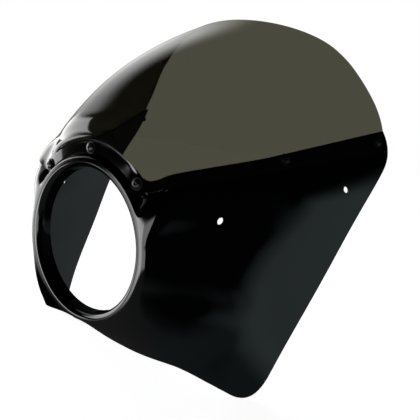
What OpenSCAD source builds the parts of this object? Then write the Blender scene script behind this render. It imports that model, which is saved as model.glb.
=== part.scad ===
// Headlight cowl for a motorcycle: a moulded cowl round a round headlamp, and the smoked
// windshield that is screwed to the outside of its upper edge.
// The opening looks along -Y, +Z is up, and the origin is on the opening's axis, half way along its bore.
// Millimetres throughout. Places on the skin are given in the front view, as [x, z], and depths are
// measured back from the ring's front face. Every piece is moved to the origin at the end.

/* [Opening] */
// Bore of the headlamp opening
opening_d = 165; // [150:0.5:175]
// Length of the collar behind the front face
collar_depth = 18; // [12:0.5:30]
// Distance of the origin behind the ring's front face
origin_depth = 12; // [8:0.5:16]
// Radius of the rounded front edge of the opening
rim_round = 7; // [5:0.5:9]
// Flat width of the ring round the opening, outside its rounded edge
ring_flat = 2; // [1:0.5:5]
// Radius of the shoulder where the ring turns into the side panels
shoulder_round = 11; // [8:0.5:16]
// What that radius gains towards the two upper corners
corner_round_top = 48; // [20:1:60]
// What it gains towards the lower tips
corner_round_low = 45; // [20:1:60]

/* [Cowl] */
// Wall of the cowl
wall = 3; // [2.5:0.1:4]
// Height of the upper rear corner above the opening's centre
rail_end_z = 163.4; // [150:0.5:175]
// Half width of the cowl at that corner
rail_end_x = 219; // [205:0.5:230]
// Half width of the cowl where it is widest
widest_x = 233.2; // [228:0.5:245]
// Height of the widest place above the opening's centre
widest_z = 117; // [105:1:125]
// Depth of the lower tip below the opening's centre
tip_z = -163; // [-175:0.5:-150]
// Half width of the cowl at the back of that tip
heel_x = 189; // [180:0.5:200]
// Half width of the cowl at the front of that tip
toe_x = 154.6; // [148:0.2:162]
// Depth of the ledge that the windshield is screwed to, behind the ring
ledge_depth = 10; // [6:0.5:11]
// Width of the brow over the opening, outside the ring's rounded edge
brow_width = 20.5; // [17:0.5:23]
// Skin left below the ring, at the lowest middle
low_lip = 3; // [2:0.5:6]

/* [Flare] */
// Radius gained for each millimetre back, at the sides
flare_side = 0.54; // [0.48:0.01:0.6]
// What the flare gains at the top
flare_top = 0.24; // [0.1:0.01:0.3]
// What the flare gains towards the lower tips
flare_low = 0.45; // [0.35:0.01:0.6]
// Swell of the windshield over the straight line from brow to top edge
bubble_swell = 43; // [20:1:60]

/* [Windshield] */
// Thickness of the windshield
shield_t = 3; // [2:0.1:4]
// Space between the windshield and the cowl
shield_gap = 0.8; // [0.5:0.05:1]
// Height of the windshield's top edge above the opening's centre
shield_top_z = 294; // [270:1:310]
// Overlap below the cowl's upper edge, over the opening
overlap_brow = 11; // [9.5:0.5:12]
// Overlap below the cowl's upper edge, at its front end
overlap_front = 13; // [12:0.5:15]
// Overlap below the cowl's upper edge, at its rear end
overlap_rear = 25; // [22:0.5:28]

/* [Fasteners] */
// Thread diameter of the windshield screws
screw_d = 5; // [4:0.5:6]
// Diameter of a screw's head
head_d = 10.5; // [9:0.5:12]
// Height of a screw's head
head_h = 2.8; // [2:0.1:3.5]
// Width of the hexagon socket across its flats
socket_af = 3; // [2.5:0.5:3]
// Outer diameter of the soft washer under a head
washer_d = 14; // [12:0.5:15]
// Thickness of that washer
washer_t = 1.2; // [0.8:0.1:1.6]
// Outer diameter of the steel washer under a nut
back_washer_d = 11; // [10:0.5:12]
// Thickness of that washer
back_washer_t = 1; // [0.8:0.1:1.4]
// Width of a nut across its flats
nut_af = 8; // [7:0.5:10]
// Height of a nut
nut_h = 5; // [4:0.5:6]
// Angle of the two outer front screws from the top
front_screw_angle = 43.5; // [40:0.5:46]
// Distance of the front screws from the brow's edge
front_screw_inset = 5.5; // [4.5:0.5:6]
// Distance of the middle side screw along the upper edge
mid_screw_run = 61; // [45:1:70]
// Distance of that screw from the upper edge
mid_screw_inset = 7.5; // [6:0.5:9]
// Distance of the rear side screw from the upper rear corner, along that edge
rear_screw_back = 11.1605; // [9:0.5:24]
// Distance of that screw from the upper edge
rear_screw_inset = 13.5; // [10:0.5:16]
// Diameter of the four mounting holes
mount_hole_d = 8.5; // [6:0.5:10]
// Distance of the front mounting hole outside the ring
front_mount_out = 46; // [40:0.5:50]
// Height of the front mounting hole above the opening's centre
front_mount_z = 44.5; // [35:0.5:55]
// Distance of the rear mounting hole inside the upper rear corner
rear_mount_in = 10.3; // [8:0.1:16]
// Height of the rear mounting hole above the opening's centre
rear_mount_z = 85; // [70:0.5:95]

/* [Quality] */
// Strips along half of the brow, along a side panel and along half of the bottom
cowl_columns = [9, 22, 7];
// Strips from the opening across the front of the cowl, and on to the rear edge
cowl_rows = [8, 9];
// Strips along half of the windshield's edge
shield_columns = 34; // [20:1:44]
// Strips across the windshield
shield_rows = 16; // [10:1:20]

/* [Hidden] */

// Radii from the opening outwards
bore_r = opening_d / 2;
rim_r = bore_r + rim_round;
face_r = rim_r + ring_flat;
brow_r = rim_r + brow_width;
flange_r = brow_r - overlap_brow;
front_screw_r = brow_r - front_screw_inset;

// The ledge: a step that ends under the windshield's lower edge, fading out past the brow
step_run = 6;
step_start = flange_r - step_run;
ledge_fade_start = brow_r + 6;
ledge_fade = 24;
ledge_angle = 48;
ledge_angle_fade = 14;

// The brow, where the skin stays flat as far as the upper edge, and then rolls back
brow_round = 6;
brow_flat_r = brow_r + 1;
brow_angle = 29;
brow_angle_fade = 20;
brow_lean = 0.94;
bubble_narrowing = 1.55;
bubble_power = 1.2;

// The flare and the corners, by angle from the top
flare_mid = 75;
sector_half = 50;
flare_top_power = 2.8;
flare_low_power = 3.1;
top_corner_angle = 53;
top_corner_fade = 27;
low_corner_angle = 106;
low_corner_fade = 36;
corner_fade_start = rim_r + 40.5;
corner_fade = 57;

// Clearances and cuts
clear = 0.3;
seat_gap = 0.1;
skin = 0.5;
drill_length = 30;
thread_spare = 1.5;
round_fn = 48;
bore_fn = 180;

// Plain helpers
function mix(a, b, t) = a + (b - a) * t;
function smooth(t) = let (u = max(0, min(1, t))) u * u * (3 - 2 * u);
function unit(v) = v / norm(v);
function curve(a, b, c, d, t) =
    a * pow(1 - t, 3) + 3 * b * t * pow(1 - t, 2) + 3 * c * t * t * (1 - t) + d * pow(t, 3);
function polar(r, angle) = [r * sin(angle), r * cos(angle)];
function angle_of(p) = atan2(abs(p[0]), p[1]);

// The skin: depth behind the front face at a place in the front view
function flare(a) = a > flare_mid
    ? flare_side + flare_low * pow((a - flare_mid) / sector_half, flare_low_power)
    : flare_side + flare_top * pow(cos(a * 90 / flare_mid), flare_top_power);
function rolled(r, start, radius, slope) =
    let (turn = atan(1 / slope), end = start + radius * sin(turn))
    r <= start ? 0
    : r < end ? radius * (1 - cos(asin((r - start) / radius)))
    : radius * (1 - cos(turn)) + (r - end) / slope;
function brow_share(a) = 1 - smooth((a - brow_angle) / brow_angle_fade);
function ledge_share(a, r) =
    (1 - smooth((a - ledge_angle) / ledge_angle_fade)) * (1 - smooth((r - ledge_fade_start) / ledge_fade));
function swell(a, r) =
    let (t = max(0, min(1, (r - brow_flat_r) / (shield_top_z - brow_flat_r))))
    bubble_swell * pow(max(0, cos(min(90, a * bubble_narrowing))), bubble_power) * 4 * t * (1 - t);
function corner_round(a) = shoulder_round
    + (a < 90 ? corner_round_top * (1 - smooth((a - top_corner_angle) / top_corner_fade))
              : corner_round_low * smooth((a - low_corner_angle) / low_corner_fade));
function side_depth(a, r) =
    mix(rolled(r, face_r, corner_round(a), flare(a)), rolled(r, face_r, shoulder_round, flare(a)),
        smooth((r - corner_fade_start) / corner_fade));
function brow_depth(a, r) = rolled(r, brow_flat_r, brow_round, flare(a) * brow_lean) - swell(a, r);
function smooth_depth(p) =
    let (a = angle_of(p), r = norm(p))
    mix(side_depth(a, r), brow_depth(a, r), brow_share(a));
function depth(p) =
    smooth_depth(p) + ledge_share(angle_of(p), norm(p)) * ledge_depth * smooth((norm(p) - step_start) / step_run);

// Direction that the skin faces, and a point at a height above the skin
function facing(p, h = 0.4) = unit([
    (smooth_depth(p + [h, 0]) - smooth_depth(p - [h, 0])) / (2 * h), -1,
    (smooth_depth(p + [0, h]) - smooth_depth(p - [0, h])) / (2 * h)]);
function above(p, height) = [p[0], depth(p), p[1]] + height * facing(p);

// The cowl's corners in the front view, from the brow's middle round to the lowest middle
rail_start = [rim_r + 7.5, rim_r - 2.9];
rail_end = [rail_end_x, rail_end_z];
rail_dir = unit(rail_end - rail_start);
rail_in = [rail_dir[1], -rail_dir[0]];
brow_end_angle = 40;
brow_end = polar(brow_r, brow_end_angle);
brow_dir = [cos(brow_end_angle), -sin(brow_end_angle)];
widest = [widest_x, widest_z];
heel = [heel_x, tip_z + 29];
toe = [toe_x, tip_z + 8.7];
low_middle = [0, -rim_r - low_lip];

// How far each corner's curve runs on before it turns, in the front view
dip_pull = 10;
corner_pull = [7, -11.4];
widest_pull_up = [0.3, 18];
widest_pull_down = [0.4, 32];
heel_pull_up = [17, 84];
heel_tip = [heel_x - 6, tip_z - 1];
toe_tip = [toe_x + 17.4, tip_z - 8.5];
toe_pull = [-42.6, 41];
middle_pull = [48, 4.5];
panel_front_top = [rim_r + 26.5, 50];
panel_front_low = [rim_r + 28.5, -60];

// Shares of each edge where one curve ends and the next starts
brow_split = 0.65;
rear_splits = [0.18, 0.78];
low_split = 0.35;

function brow_edge(u) =
    u < brow_split ? polar(brow_r, brow_end_angle * u / brow_split)
    : curve(brow_end, brow_end + dip_pull * brow_dir, rail_start - dip_pull * rail_dir, rail_start,
            (u - brow_split) / (1 - brow_split));
function rear_edge(u) =
    u < rear_splits[0]
        ? curve(rail_end, rail_end + corner_pull, widest + widest_pull_up, widest, u / rear_splits[0])
    : u < rear_splits[1]
        ? curve(widest, widest - widest_pull_down, heel + heel_pull_up, heel,
                (u - rear_splits[0]) / (rear_splits[1] - rear_splits[0]))
    : curve(heel, heel_tip, toe_tip, toe, (u - rear_splits[1]) / (1 - rear_splits[1]));
function low_edge(u) = curve(toe, toe + toe_pull, low_middle + middle_pull, low_middle, u);

// Where a side panel's columns leave the front zone: from the dip round to the lower edge
function front_line(u) = curve(rail_start, panel_front_top, panel_front_low, low_edge(low_split), u);

// The windshield's corners in the front view, from the middle to the rear corner
flange_end_angle = 42;
flange_end = polar(flange_r, flange_end_angle);
flange_dir = [cos(flange_end_angle), -sin(flange_end_angle)];
under_start = rail_start + overlap_front * rail_in;
rear_corner = rail_end + overlap_rear * rail_in - 9.8 * rail_dir;
under_dir = unit(rear_corner - under_start);
under_end = rear_corner - 12 * under_dir;
shoulder_corner = [147.5, shield_top_z - 36];
rear_step = rail_end - [2, 0.4];
flange_pull = 12;
under_pull = 14;
top_pull = [60, 0];
shoulder_pull_in = [-29.5, 25];
shoulder_pull_down = [19.2, -13.5];
rear_step_pull = [-15, 40];

function shield_low(u) =
    u < 1 ? polar(flange_r, flange_end_angle * u)
    : u < 2 ? curve(flange_end, flange_end + flange_pull * flange_dir, under_start - under_pull * under_dir,
                    under_start, u - 1)
    : mix(under_start, under_end, u - 2);
function shield_high(u) =
    u < 1 ? curve([0, shield_top_z], [0, shield_top_z] + top_pull, shoulder_corner + shoulder_pull_in,
                  shoulder_corner, u)
    : u < 2 ? curve(shoulder_corner, shoulder_corner + shoulder_pull_down, rear_step + rear_step_pull,
                    rear_step, u - 1)
    : mix(rear_step, rear_corner, u - 2);
edge_marks = [0, 1, 2, 3];
low_shares = [0, 0.34, 0.5, 1];
high_shares = [0, 0.6, 0.9, 1];

// Value between marks, for a share of the way along
function between(shares, marks, s) =
    let (i = max([for (k = [0:len(shares) - 2]) if (s >= shares[k] || k == 0) k]))
    mix(marks[i], marks[i + 1], (s - shares[i]) / (shares[i + 1] - shares[i]));

// A closed wall between two grids of points, both [column][row]. live[i][j] says whether the patch
// between columns i and i + 1 and rows j and j + 1 is there. A wall closes every free side.
function flat_list(grid) = [for (column = grid) for (point = column) point];
function alive(live, i, j) = i >= 0 && i < len(live) && j >= 0 && j < len(live[0]) && live[i][j];
module walled(outer, inner, live, closed) {
    columns = len(outer);
    rows = len(outer[0]);
    count = columns * rows;
    strips = len(live);
    function at(i, j) = (i % columns) * rows + j;
    function side(a, b) = [[a, count + a, count + b], [a, count + b, b]];
    function near(i) = closed ? (i + strips) % strips : i;
    patches = [for (i = [0:strips - 1]) for (j = [0:rows - 2]) if (live[i][j]) [i, j]];
    polyhedron(
        points = concat(flat_list(outer), flat_list(inner)),
        faces = [for (q = patches) let (i = q[0], j = q[1]) each concat(
            [[at(i, j), at(i + 1, j), at(i + 1, j + 1)], [at(i, j), at(i + 1, j + 1), at(i, j + 1)],
             [count + at(i, j), count + at(i + 1, j + 1), count + at(i + 1, j)],
             [count + at(i, j), count + at(i, j + 1), count + at(i + 1, j + 1)]],
            alive(live, i, j - 1) ? [] : side(at(i, j), at(i + 1, j)),
            alive(live, i, j + 1) ? [] : side(at(i + 1, j + 1), at(i, j + 1)),
            alive(live, near(i + 1), j) ? [] : side(at(i + 1, j), at(i + 1, j + 1)),
            alive(live, near(i - 1), j) ? [] : side(at(i, j + 1), at(i, j)))]);
}
function flip_x(p) = [-p[0], p[1], p[2]];

// Collar and rounded rim, as [radius, depth], outside and inside of the wall
rim_steps = 4;
function rim_arc(radius) = [for (k = [1:rim_steps]) let (a = 90 * k / rim_steps)
    [rim_r - radius * cos(a), rim_round - radius * sin(a)]];
function rim_outer() =
    concat([[bore_r - skin, collar_depth], [bore_r - skin, rim_round]], rim_arc(rim_round));
function rim_inner() =
    concat([[bore_r + wall, collar_depth], [bore_r + wall, rim_round]], rim_arc(rim_round - wall));
function ring_point(pair, angle) = [pair[0] * sin(angle), pair[1], pair[0] * cos(angle)];

// Share of a column reached by row j of n: the first rows cover the ring zone, the rest spread out
ring_rows = 5;
ring_zone = 12;
front_spread = 1.3;
rear_spread = 1.15;
function row_share(j, n, front) =
    let (zone = min(0.6, front))
    j <= ring_rows ? zone * j / ring_rows
    : zone + (1 - zone) * pow((j - ring_rows) / (n - ring_rows), front_spread);

// The cowl's columns, numbered from the brow's middle round to the lowest middle: where one starts
// on the ring, where it ends in the front zone, and where it goes on to
brow_count = cowl_columns[0];
panel_last = brow_count + cowl_columns[1];
half_count = panel_last + cowl_columns[2];
panel_angles = [46, 60, 124, 138];
panel_marks = [0, rear_splits[0], rear_splits[1], 1];
function start_angle(i) =
    i <= brow_count ? panel_angles[0] * i / brow_count
    : i <= panel_last ? between(panel_marks, panel_angles, (i - brow_count) / cowl_columns[1])
    : mix(panel_angles[3], 180, (i - panel_last) / cowl_columns[2]);
function front_end(i) =
    i <= brow_count ? brow_edge(i / brow_count)
    : i <= panel_last ? front_line((i - brow_count) / cowl_columns[1])
    : low_edge(mix(low_split, 1, (i - panel_last) / cowl_columns[2]));
function beyond(i, t) =
    i < brow_count || i > panel_last ? front_end(i)
    : i == panel_last ? low_edge(low_split * (1 - t))
    : mix(front_end(i), rear_edge((i - brow_count) / cowl_columns[1]), t);

// One column of the cowl's skin, from the collar to the outline, at a height above the skin
function cowl_column(i, height) =
    let (ring = start_angle(i), start = polar(rim_r, ring), stop = front_end(i),
         rim = height < 0 ? rim_inner() : rim_outer())
    concat([for (pair = rim) ring_point(pair, ring)],
           [for (j = [1:cowl_rows[0]])
               above(mix(start, stop, row_share(j, cowl_rows[0], ring_zone / norm(stop - start))), height)],
           [for (j = [1:cowl_rows[1]]) above(beyond(i, pow(j / cowl_rows[1], rear_spread)), height)]);
function cowl_grid(height) = concat(
    [for (i = [0:half_count]) cowl_column(i, height)],
    [for (i = [half_count - 1:-1:1]) [for (p = cowl_column(i, height)) flip_x(p)]]);
function panel_strip(i) = i >= brow_count && i < panel_last;
cowl_live = let (front = len(rim_outer()) - 1 + cowl_rows[0])
    [for (i = [0:2 * half_count - 1]) [for (j = [0:front + cowl_rows[1] - 1])
        j < front || panel_strip(i) || panel_strip(2 * half_count - 1 - i)]];

// A windshield column starts square to the lower edge, and then runs to the upper edge
flange_rows = 6;
square_zone = 22;
shield_spread = 1.2;
function shield_column(s, height) =
    let (low = shield_low(between(low_shares, edge_marks, s)),
         last = shield_low(between(low_shares, edge_marks, s - 0.004)),
         high = shield_high(between(high_shares, edge_marks, s)),
         along = s < 0.01 ? [1, 0] : unit(low - last),
         zone = min(square_zone, 0.4 * norm(high - low)),
         turn = mix([-along[1], along[0]], unit(high - low), smooth((s - 0.8) / 0.2)),
         middle = low + zone * unit(turn))
    concat([for (j = [0:flange_rows - 1]) above(mix(low, middle, j / flange_rows), height)],
           [for (j = [flange_rows:shield_rows])
               above(mix(middle, high, pow((j - flange_rows) / (shield_rows - flange_rows), shield_spread)),
                     height)]);
function shield_grid(height) = concat(
    [for (i = [shield_columns:-1:1]) [for (p = shield_column(i / shield_columns, height)) flip_x(p)]],
    [for (i = [0:shield_columns]) shield_column(i / shield_columns, height)]);
shield_live = [for (i = [0:2 * shield_columns - 1]) [for (j = [0:shield_rows - 1]) true]];

// Places of the seven screws and the four mounting holes, in the front view
function both_sides(places) = concat(places, [for (p = places) [-p[0], p[1]]]);
mid_screw = rail_start + mid_screw_run * rail_dir + mid_screw_inset * rail_in;
rear_screw = rail_end - rear_screw_back * rail_dir + rear_screw_inset * rail_in;
front_screw = polar(front_screw_r, front_screw_angle);
screw_places = concat([[0, front_screw_r]], both_sides([front_screw, mid_screw, rear_screw]));
mount_places = both_sides([[rim_r + front_mount_out, front_mount_z],
                           [rail_end_x - rear_mount_in, rear_mount_z]]);

// Puts a child on the skin, with its own Z along the way that the skin faces
module on_skin(p) {
    n = facing(p);
    tilt = acos(n[2]);
    turn = atan2(n[1], n[0]);
    translate([p[0], depth(p), p[1]]) rotate([0, tilt, turn]) children();
}
module at_screws() {
    for (p = screw_places) on_skin(p) children();
}
module drill(d) {
    translate([0, 0, -drill_length / 2]) cylinder(d = d, h = drill_length, $fn = round_fn);
}

// Heights above the skin, from the nut outwards
washer_low = shield_gap + shield_t + clear;
head_low = washer_low + washer_t;
back_washer_top = -wall - clear;
nut_top = back_washer_top - back_washer_t;
thread_low = nut_top - nut_h - thread_spare;
hole_d = screw_d + 2 * clear;

module in_frame() {
    translate([0, -origin_depth, 0]) children();
}

module cowl() {
    color("#141617") in_frame()
    difference() {
        walled(cowl_grid(0), cowl_grid(-wall), cowl_live, true);
        rotate([-90, 0, 0]) translate([0, 0, -1]) cylinder(r = bore_r, h = collar_depth + 2, $fn = bore_fn);
        at_screws() drill(hole_d);
        for (p = mount_places) on_skin(p) drill(mount_hole_d);
    }
}

module windshield() {
    color("#4a483a", 0.75) in_frame()
    difference() {
        walled(shield_grid(shield_gap + shield_t), shield_grid(shield_gap), shield_live, false);
        at_screws() drill(hole_d);
    }
}

// A button head is cut from a ball whose radius is this share of the head's diameter
dome_share = 0.85;
socket_floor_share = 0.35;
module screw() {
    difference() {
        union() {
            translate([0, 0, thread_low])
                cylinder(d = screw_d, h = head_low - thread_low + 2 * seat_gap, $fn = round_fn);
            translate([0, 0, head_low]) intersection() {
                cylinder(d = head_d, h = head_h, $fn = round_fn);
                translate([0, 0, head_h - head_d * dome_share])
                    sphere(d = head_d * dome_share * 2, $fn = round_fn);
            }
        }
        translate([0, 0, head_low + head_h * socket_floor_share])
            cylinder(d = socket_af / cos(30), h = head_h, $fn = 6);
    }
}

module ring(outer_d, h) {
    difference() {
        cylinder(d = outer_d, h = h, $fn = round_fn);
        translate([0, 0, -1]) cylinder(d = hole_d, h = h + 2, $fn = round_fn);
    }
}

// A lock nut has a round collar under its hexagon
collar_share = 0.3;
collar_overlap = 0.1;
collar_d_share = 0.88;
module lock_nut() {
    difference() {
        union() {
            translate([0, 0, nut_h * collar_share])
                cylinder(d = nut_af / cos(30), h = nut_h * (1 - collar_share), $fn = 6);
            cylinder(d = nut_af * collar_d_share, h = nut_h * (collar_share + collar_overlap), $fn = round_fn);
        }
        translate([0, 0, -1]) cylinder(d = hole_d, h = nut_h + 2, $fn = round_fn);
    }
}

module shield_screws() {
    color("#1b1b1c") in_frame() at_screws() screw();
}

module screw_washers() {
    color("#2a2a2b") in_frame() at_screws() translate([0, 0, washer_low]) ring(washer_d, washer_t - seat_gap);
}

module nut_washers() {
    color("silver") in_frame() at_screws()
        translate([0, 0, nut_top + seat_gap / 2]) ring(back_washer_d, back_washer_t - seat_gap / 2);
}

module lock_nuts() {
    color("gainsboro") in_frame() at_screws() translate([0, 0, nut_top - nut_h]) lock_nut();
}

cowl();
windshield();
shield_screws();
screw_washers();
nut_washers();
lock_nuts();
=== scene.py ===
# %% [markdown]
# A motorcycle headlight cowl: one glossy black moulding round a lamp opening, with a smoked windshield
# screwed to the outside of its upper edge. Both are thin skins over the same swelling form, so this
# lesson writes that form down once, as a depth for every place in the front view, and then lays two
# meshes on it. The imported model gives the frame, and everything is built in its metres.

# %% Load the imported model
import math
import bmesh
import bpy
import numpy as np
from mathutils import Matrix, Vector


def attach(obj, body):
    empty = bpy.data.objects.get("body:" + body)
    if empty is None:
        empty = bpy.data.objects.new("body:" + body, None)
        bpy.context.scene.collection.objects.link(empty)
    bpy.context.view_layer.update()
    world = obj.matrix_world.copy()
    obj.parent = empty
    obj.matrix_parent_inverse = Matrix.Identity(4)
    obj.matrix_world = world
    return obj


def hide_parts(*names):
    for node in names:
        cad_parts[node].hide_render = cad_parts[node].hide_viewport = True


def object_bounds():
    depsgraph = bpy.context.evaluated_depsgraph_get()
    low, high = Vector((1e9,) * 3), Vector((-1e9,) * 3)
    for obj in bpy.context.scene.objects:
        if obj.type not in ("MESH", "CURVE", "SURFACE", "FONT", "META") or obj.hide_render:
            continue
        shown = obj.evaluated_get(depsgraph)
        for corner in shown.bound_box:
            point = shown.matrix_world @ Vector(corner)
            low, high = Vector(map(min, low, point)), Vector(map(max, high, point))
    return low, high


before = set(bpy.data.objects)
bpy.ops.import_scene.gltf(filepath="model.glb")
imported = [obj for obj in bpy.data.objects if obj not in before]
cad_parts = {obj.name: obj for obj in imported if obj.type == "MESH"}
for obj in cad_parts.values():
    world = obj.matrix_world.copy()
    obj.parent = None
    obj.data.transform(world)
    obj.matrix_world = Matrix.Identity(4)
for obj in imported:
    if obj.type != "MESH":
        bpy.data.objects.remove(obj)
cad_box = [[float(v) for v in corner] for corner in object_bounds()]
print("nodes", sorted(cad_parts))
print("solid model's box", cad_box)

# %% [markdown]
# The camera comes first, because every later choice is judged through it. Its place and tilt were
# worked out from the round opening and from pairs of points that match on the two sides. The
# photograph is a little crooked, so the camera is also rolled about its own axis.

# %% Camera
IMAGE = 420
SENSOR = 36.0
FOCAL_PIXELS = 442.87
CAMERA_PLACE = Vector((0.38841, -0.32438, 0.13817))
TURN, TILT, ROLL = (math.radians(v) for v in (34.924, 10.184, 6.716))

back = Vector((math.sin(TURN) * math.cos(TILT), -math.cos(TURN) * math.cos(TILT), math.sin(TILT)))
level = Vector((math.cos(TURN), math.sin(TURN), 0.0))
upright = back.cross(level)
right = level * math.cos(ROLL) + upright * math.sin(ROLL)
up = upright * math.cos(ROLL) - level * math.sin(ROLL)
pose = Matrix((right, up, back)).transposed().to_4x4()
pose.translation = CAMERA_PLACE
lens = bpy.data.cameras.new("camera")
lens.sensor_width = SENSOR
lens.lens = FOCAL_PIXELS * SENSOR / IMAGE
lens.clip_start = 0.01
camera = bpy.data.objects.new("camera", lens)
camera.matrix_world = pose
bpy.context.scene.collection.objects.link(camera)
bpy.context.scene.camera = camera
print("lens", round(lens.lens, 2), "mm")

# %% [markdown]
# The moulding's driving sizes, in millimetres. Depths are measured back from the front face of the
# ring, and places on the skin are (x, z) in the front view, because that is how a tool maker would
# draw such a shell: an outline, and a height above it everywhere.

# %% Driving sizes
MM = 0.001
ORIGIN_DEPTH = 12.0
BORE_R = 82.5
COLLAR_DEPTH = 18.0
RIM_ROUND = 7.0
RIM_R = BORE_R + RIM_ROUND
RING_FLAT = 2.0
FACE_R = RIM_R + RING_FLAT
SHOULDER_ROUND = 11.0
CORNER_ROUND_TOP = 48.0
CORNER_ROUND_LOW = 45.0
WALL = 3.0
LEDGE_DEPTH = 10.0
STEP_OUT = 3.5
STEP_START = RIM_R + STEP_OUT
STEP_RUN = 6.0
BROW_R = 110.0
BROW_LIP = 1.0
BROW_ROUND = 6.0
FLARE_SIDE, FLARE_TOP, FLARE_LOW = 0.54, 0.24, 0.45
BUBBLE_SWELL = 43.0
SHIELD_T = 3.0
SHIELD_GAP = 0.8
SHIELD_TOP = 294.0
FLANGE_R = 99.0
print("opening", 2 * BORE_R, "mm")

# %% [markdown]
# The form itself. Seen from the front, each direction from the opening's centre has its own profile:
# flat across the ring, then a rolled shoulder, then a nearly straight flare. The shoulder is tight at
# the sides and broad at the corners, which makes the face a rounded square. Over the opening the
# flare starts further out and swells into the windshield's bubble. Written with arrays, one call
# gives the depth of a whole grid. Angles are in degrees from straight up, and each pair named FADE
# says where one form begins to give way to the next, and over how long a run.

# %% Depth of the skin
FLARE_SPLIT, FLARE_TURN, FLARE_LOW_RUN = 75.0, 1.2, 50.0
FLARE_TOP_POWER, FLARE_LOW_POWER = 2.8, 3.1
TOP_CORNER_FADE = (53.0, 27.0)
LOW_CORNER_FADE = (106.0, 36.0)
SIDEWAYS = 90.0
BUBBLE_TURN, BUBBLE_POWER = 1.55, 1.2
SIDE_FADE = (130.0, 57.0)
BROW_FADE = (29.0, 20.0)
BROW_LEAN = 0.94
LEDGE_SIDE_FADE = (48.0, 14.0)
LEDGE_OUT_FADE = (116.0, 24.0)


def smooth(t):
    t = np.clip(t, 0.0, 1.0)
    return t * t * (3 - 2 * t)


def rising(value, start, run):
    return smooth((value - start) / run)


def mix(a, b, t):
    return a + (b - a) * t


def flare(angle):
    turned = np.radians(np.minimum(angle, FLARE_SPLIT) * FLARE_TURN)
    upper = FLARE_TOP * np.cos(turned) ** FLARE_TOP_POWER
    lower = FLARE_LOW * (np.maximum(angle - FLARE_SPLIT, 0.0) / FLARE_LOW_RUN) ** FLARE_LOW_POWER
    return FLARE_SIDE + upper + lower


def rolled(r, start, radius, slope):
    turn = np.arctan(1.0 / slope)
    end = start + radius * np.sin(turn)
    lean = np.clip((r - start) / radius, 0.0, 1.0)
    arc = radius * (1.0 - np.sqrt(1.0 - np.minimum(lean, np.sin(turn)) ** 2))
    return arc + np.maximum(r - end, 0.0) / slope


def corner_round(angle):
    top = CORNER_ROUND_TOP * (1 - rising(angle, *TOP_CORNER_FADE))
    low = CORNER_ROUND_LOW * rising(angle, *LOW_CORNER_FADE)
    return SHOULDER_ROUND + np.where(angle < SIDEWAYS, top, low)


def swell(angle, r):
    t = np.clip((r - BROW_R - BROW_LIP) / (SHIELD_TOP - BROW_R - BROW_LIP), 0.0, 1.0)
    turned = np.radians(np.minimum(SIDEWAYS, angle * BUBBLE_TURN))
    width = np.maximum(np.cos(turned), 0.0) ** BUBBLE_POWER
    return BUBBLE_SWELL * width * 4 * t * (1 - t)


def smooth_depth(x, z):
    r = np.hypot(x, z)
    angle = np.degrees(np.arctan2(np.abs(x), z))
    slope = flare(angle)
    near = rolled(r, FACE_R, corner_round(angle), slope)
    far = rolled(r, FACE_R, SHOULDER_ROUND, slope)
    side = mix(near, far, rising(r, *SIDE_FADE))
    brow = rolled(r, BROW_R + BROW_LIP, BROW_ROUND, slope * BROW_LEAN) - swell(angle, r)
    return mix(side, brow, 1 - rising(angle, *BROW_FADE))


def ledge(x, z):
    r = np.hypot(x, z)
    angle = np.degrees(np.arctan2(np.abs(x), z))
    share = (1 - rising(angle, *LEDGE_SIDE_FADE)) * (1 - rising(r, *LEDGE_OUT_FADE))
    return LEDGE_DEPTH * share * rising(r, STEP_START, STEP_RUN)


def facing(x, z, h=0.4):
    across = (smooth_depth(x + h, z) - smooth_depth(x - h, z)) / (2 * h)
    upward = (smooth_depth(x, z + h) - smooth_depth(x, z - h)) / (2 * h)
    normal = np.stack([across, -np.ones_like(across), upward], axis=-1)
    return normal / np.linalg.norm(normal, axis=-1, keepdims=True)


def above(places, height):
    places = np.asarray(places, float)
    x, z = places[..., 0], places[..., 1]
    base = np.stack([x, smooth_depth(x, z) + ledge(x, z), z], axis=-1)
    return base + height * facing(x, z)


side_depth = float(smooth_depth(FACE_R + 60.0, 0.0))
print("depth at the side, 60 mm out from the ring:", round(side_depth, 1), "mm")

# %% [markdown]
# The outlines. Each edge is a few curves between corners that can be pointed at on the real thing:
# the brow's arc, the dip where it meets the rail, the straight rail, the rounded rear corner, the
# long rear edge, the lower tip and the lower edge. The windshield has its own lower and upper edge.
# A pair named PULLS is how far each curve's two handles stand from its ends, and a SHARE is how much
# of the edge's run one curve takes.

# %% Outlines in the front view
def polar(r, degrees):
    return np.array([r * math.sin(math.radians(degrees)), r * math.cos(math.radians(degrees))])


def unit(v):
    return np.asarray(v, float) / np.linalg.norm(v)


def curve(a, b, c, d, t):
    return a * (1 - t) ** 3 + 3 * b * t * (1 - t) ** 2 + 3 * c * t * t * (1 - t) + d * t ** 3


RAIL_START = np.array([97.0, 86.6])
RAIL_END = np.array([219.0, 163.4])
RAIL_DIR = unit(RAIL_END - RAIL_START)
RAIL_IN = np.array([RAIL_DIR[1], -RAIL_DIR[0]])
BROW_ANGLE = 40.0
BROW_END = polar(BROW_R, BROW_ANGLE)
BROW_DIR = polar(1.0, BROW_ANGLE + 90.0)
WIDEST = np.array([233.2, 117.0])
HEEL = np.array([189.0, -134.0])
TOE = np.array([154.6, -154.3])
TIP_Z = -163.0
LOW_LIP = 3.0
LOW_MIDDLE = np.array([0.0, -RIM_R - LOW_LIP])
LOW_SPLIT = 0.35
BROW_SHARE, DIP_SHARE, DIP_PULL = 0.65, 0.35, 10
CORNER_SHARE, LONG_SHARE, TIP_SHARE = 0.18, 0.6, 0.22
TIP_FROM = 0.78
CORNER_PULLS = ((7, -11.4), (0.3, 18))
LONG_PULLS = ((-0.4, -32), (17, 84))
HEEL_HANDLE = np.array([HEEL[0] - 6, TIP_Z - 1])
TOE_HANDLE = np.array([TOE[0] + 17.4, TIP_Z - 8.5])
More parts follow.
